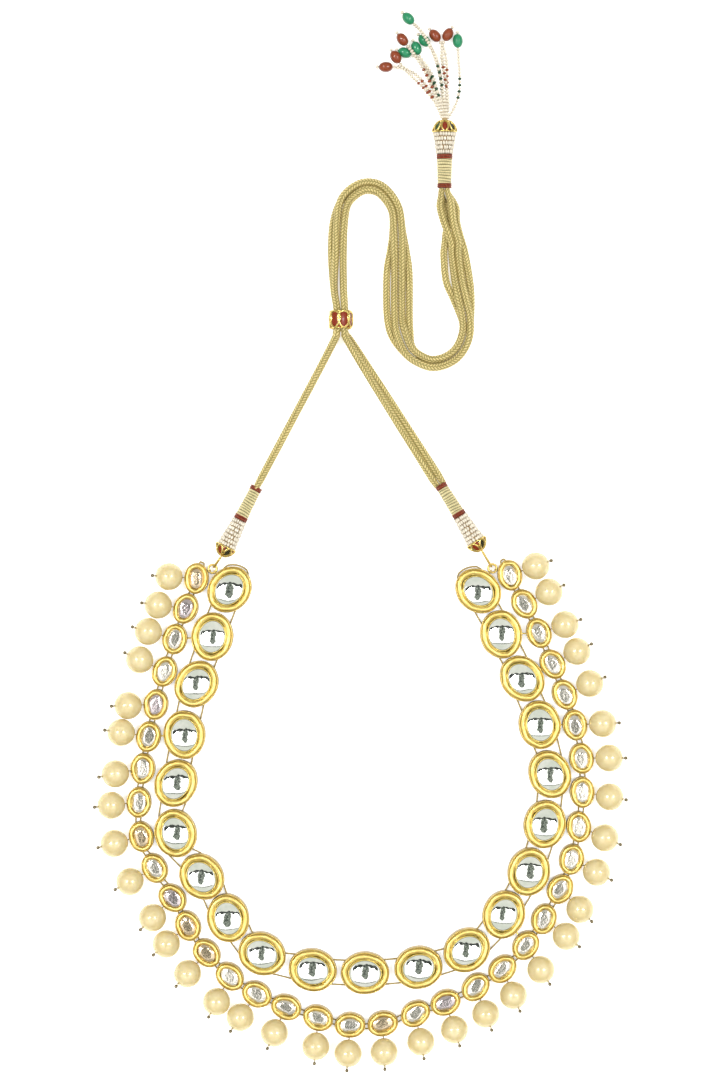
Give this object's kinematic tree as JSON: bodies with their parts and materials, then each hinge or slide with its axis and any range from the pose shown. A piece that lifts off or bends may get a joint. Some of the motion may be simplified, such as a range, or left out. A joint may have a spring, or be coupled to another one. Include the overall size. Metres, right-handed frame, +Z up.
{
  "type": "kundan necklace",
  "caption": "Necklace laid flat: a curved row of domed foiled stones, an outer row of small stones with pearl drops, two braided cords with a slider, and a bead tassel.",
  "frame": {"origin": "middle of the laid necklace's outline in plan, on the surface that it lies on", "axes": "+Z up from the surface, +Y from the pearl drops towards the tassel, +X to the right as seen from above"},
  "size_m": [0.1939, 0.3857, 0.01],
  "materials": {
    "satin_gold": "burnished, slightly uneven by hand",
    "foiled_glass": "clear dome over silver foil, polished",
    "polki_stone": "cut clear stone over foil",
    "cream_pearl": "pearly, polished",
    "gold_wire": "drawn wire, polished",
    "row_thread": "twisted gold-coloured thread",
    "enamelled_gold": "gold with red and green enamel",
    "seed_beads": "pearl-white seed beads",
    "metal_thread": "tight winding of metal thread",
    "red_thread": "tight winding of red-brown thread",
    "braided_zari": "braided metal thread with a pale glitter",
    "slider_beads": "red-brown thread and seed beads",
    "oval_beads": "satin, green and brown-red"
  },
  "bodies": {
    "root": {"setting_01": "satin_gold", "setting_02": "satin_gold", "setting_03": "satin_gold", "setting_04": "satin_gold", "setting_05": "satin_gold", "setting_06": "satin_gold", "setting_07": "satin_gold", "setting_08": "satin_gold", "setting_09": "satin_gold", "setting_10": "satin_gold", "setting_11": "satin_gold", "setting_12": "satin_gold", "setting_13": "satin_gold", "setting_14": "satin_gold", "setting_15": "satin_gold", "setting_16": "satin_gold", "setting_17": "satin_gold", "setting_18": "satin_gold", "setting_19": "satin_gold", "setting_20": "satin_gold", "setting_21": "satin_gold", "stone_01": "foiled_glass", "stone_02": "foiled_glass", "stone_03": "foiled_glass", "stone_04": "foiled_glass", "stone_05": "foiled_glass", "stone_06": "foiled_glass", "stone_07": "foiled_glass", "stone_08": "foiled_glass", "stone_09": "foiled_glass", "stone_10": "foiled_glass", "stone_11": "foiled_glass", "stone_12": "foiled_glass", "stone_13": "foiled_glass", "stone_14": "foiled_glass", "stone_15": "foiled_glass", "stone_16": "foiled_glass", "stone_17": "foiled_glass", "stone_18": "foiled_glass", "stone_19": "foiled_glass", "stone_20": "foiled_glass", "stone_21": "foiled_glass", "outer_settings": "satin_gold", "outer_stones": "polki_stone", "pearls": "cream_pearl", "head_pins": "gold_wire", "row_threads": "row_thread", "row_ties": "gold_wire", "end_links": "gold_wire", "end_caps": "enamelled_gold", "bead_cones": "seed_beads", "windings": "metal_thread", "red_bands": "red_thread", "cord_a": "braided_zari", "cord_b": "braided_zari", "cord_c": "braided_zari", "cord_d": "braided_zari", "slider": "slider_beads", "tassel_strings": "seed_beads", "tassel_beads": "oval_beads"}
  },
  "joints": []
}
